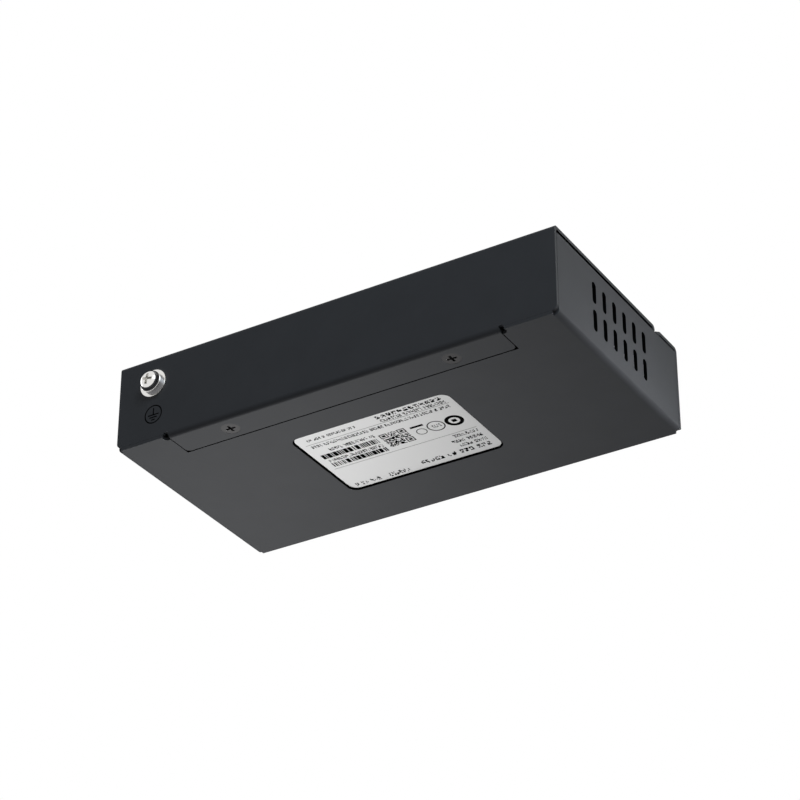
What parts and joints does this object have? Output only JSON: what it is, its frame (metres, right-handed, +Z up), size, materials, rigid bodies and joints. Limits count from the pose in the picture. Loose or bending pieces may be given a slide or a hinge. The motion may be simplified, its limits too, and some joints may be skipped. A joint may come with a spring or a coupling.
{
  "type": "ethernet switch",
  "caption": "Desktop ethernet switch in a folded sheet-metal case, with a row of network ports, end-wall vents, a grounding screw and a rating label in a pressed recess underneath.",
  "frame": {"origin": "under the middle of the whole object, on the plane that it stands on", "axes": "+X along the row of ports, +Y from the port wall to the rear wall, +Z up"},
  "size_m": [0.14, 0.0764, 0.0275],
  "materials": {
    "case_paint": "satin",
    "label_film": "satin",
    "nickel": "satin",
    "plated_steel": "satin",
    "black_moulding": "matte",
    "shield_steel": "satin",
    "gold_plate": "polished",
    "board_laminate": "satin",
    "clear_plastic": "clear",
    "lamp_body": "gloss",
    "chip_resin": "matte",
    "pad_silicone": "matte",
    "black_aluminium": "satin",
    "bare_aluminium": "satin",
    "ferrite": "matte",
    "ceramic": "matte"
  },
  "bodies": {
    "root": {"base_tray": "case_paint", "top_cover": "case_paint", "rating_label": "label_film", "cover_screws": "plated_steel", "ground_screw": "nickel", "spring_washer": "plated_steel", "flat_washer": "nickel", "clinch_nut": "plated_steel", "board_standoffs": "plated_steel", "board_screws": "plated_steel", "circuit_board": "board_laminate", "jack_housing_left": "black_moulding", "jack_housing_right": "black_moulding", "jack_shield_left": "shield_steel", "jack_shield_right": "shield_steel", "jack_contacts_left": "gold_plate", "jack_contacts_right": "gold_plate", "power_jack_body": "black_moulding", "power_jack_pin": "nickel", "power_jack_terminals": "plated_steel", "light_guide": "clear_plastic", "indicator_lamps": "lamp_body", "line_transformers": "chip_resin", "switch_chip": "chip_resin", "thermal_pad": "pad_silicone", "heat_sink": "black_aluminium", "flash_chip": "chip_resin", "crystal_can": "bare_aluminium", "smoothing_capacitors": "bare_aluminium", "power_inductors": "ferrite", "regulator_chips": "chip_resin", "input_diode": "chip_resin", "fuse": "ceramic", "chip_capacitors": "ceramic"}
  },
  "joints": []
}
